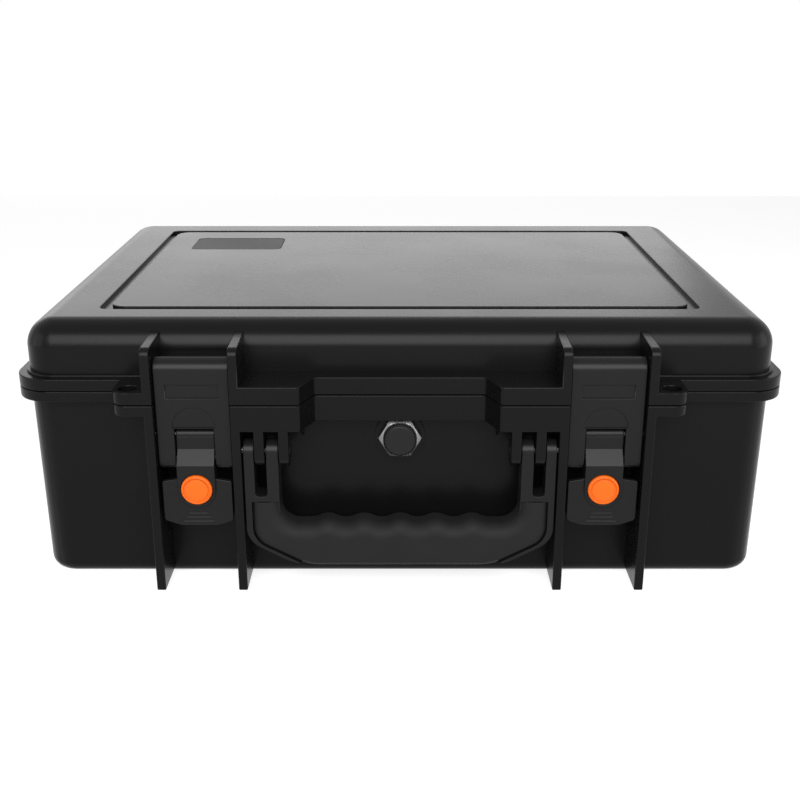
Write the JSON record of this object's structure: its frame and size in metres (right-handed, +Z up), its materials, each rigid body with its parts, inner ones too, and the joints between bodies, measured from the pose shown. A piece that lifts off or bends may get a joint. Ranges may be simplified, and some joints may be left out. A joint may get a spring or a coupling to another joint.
{
  "type": "laptop hard case",
  "caption": "Moulded hard case for a laptop with a hinged lid, two over-centre latches with push buttons, a folding carry handle and a vent valve.",
  "frame": {"origin": "middle of the footprint, on the surface that the case stands on", "axes": "+X to the right seen from the latch side, +Y from the latch side to the hinge side, +Z up"},
  "size_m": [0.46, 0.364, 0.164],
  "materials": {
    "shell": "finely textured black moulded plastic",
    "latch": "satin black moulded plastic",
    "button": "satin orange moulded plastic",
    "grip": "matt black soft grip",
    "steel": "plain steel",
    "valve": "dark satin metal",
    "seal": "black rubber",
    "foam": "charcoal open-cell foam"
  },
  "bodies": {
    "base": {"base_shell": "shell", "left_outer_base_rib": "shell", "left_inner_base_rib": "shell", "right_outer_base_rib": "shell", "right_inner_base_rib": "shell", "base_floor_pad": "foam", "base_foam": "foam", "left_lever_pin": "steel", "right_lever_pin": "steel", "left_hinge_pin": "steel", "right_hinge_pin": "steel", "left_handle_pin": "steel", "right_handle_pin": "steel", "valve_body": "valve", "valve_cap": "valve", "valve_nut": "valve", "valve_seal": "seal"},
    "lid": {"lid_shell": "shell", "left_outer_lid_rib": "shell", "left_inner_lid_rib": "shell", "right_outer_lid_rib": "shell", "right_inner_lid_rib": "shell", "badge_plate": "latch", "lid_seal": "seal", "lid_foam": "foam"},
    "handle": {"handle_frame": "latch", "handle_grip": "grip"},
    "left_lever": {"left_lever": "latch", "left_hook_pin": "steel"},
    "left_hook": {"left_hook": "latch"},
    "left_button": {"left_button": "button", "left_button_clip": "steel"},
    "right_lever": {"right_lever": "latch", "right_hook_pin": "steel"},
    "right_hook": {"right_hook": "latch"},
    "right_button": {"right_button": "button", "right_button_clip": "steel"}
  },
  "joints": [
    {"name": "lid_hinge", "type": "hinge", "parent": "base", "child": "lid", "pos_m": [0, 0.1764, 0.124], "axis": [-1, 0, 0], "range_deg": [0, 100]},
    {"name": "handle_swing", "type": "hinge", "parent": "base", "child": "handle", "pos_m": [0, -0.173, 0.0935], "axis": [-1, 0, 0], "range_deg": [0, 100]},
    {"name": "left_lever_pull", "type": "hinge", "parent": "base", "child": "left_lever", "pos_m": [-0.1193, -0.16949, 0.10242], "axis": [-1, 0, 0], "range_deg": [-6, 90]},
    {"name": "left_hook_turn", "type": "hinge", "parent": "left_lever", "child": "left_hook", "pos_m": [-0.1193, -0.171, 0.088], "axis": [-1, 0, 0], "range_deg": [-112.5, 7.5]},
    {"name": "left_button_press", "type": "slide", "parent": "left_lever", "child": "left_button", "axis": [0, 1, 0], "range_m": [0, 0.0025], "stiffness_N_per_m": 1200},
    {"name": "right_lever_pull", "type": "hinge", "parent": "base", "child": "right_lever", "pos_m": [0.1193, -0.16949, 0.10242], "axis": [-1, 0, 0], "range_deg": [-6, 90]},
    {"name": "right_hook_turn", "type": "hinge", "parent": "right_lever", "child": "right_hook", "pos_m": [0.1193, -0.171, 0.088], "axis": [-1, 0, 0], "range_deg": [-112.5, 7.5]},
    {"name": "right_button_press", "type": "slide", "parent": "right_lever", "child": "right_button", "axis": [0, 1, 0], "range_m": [0, 0.0025], "stiffness_N_per_m": 1200}
  ],
  "couplings": [
    {"joint": "left_hook_turn", "follows": "left_lever_pull", "ratio": -1.25},
    {"joint": "right_hook_turn", "follows": "right_lever_pull", "ratio": -1.25}
  ]
}
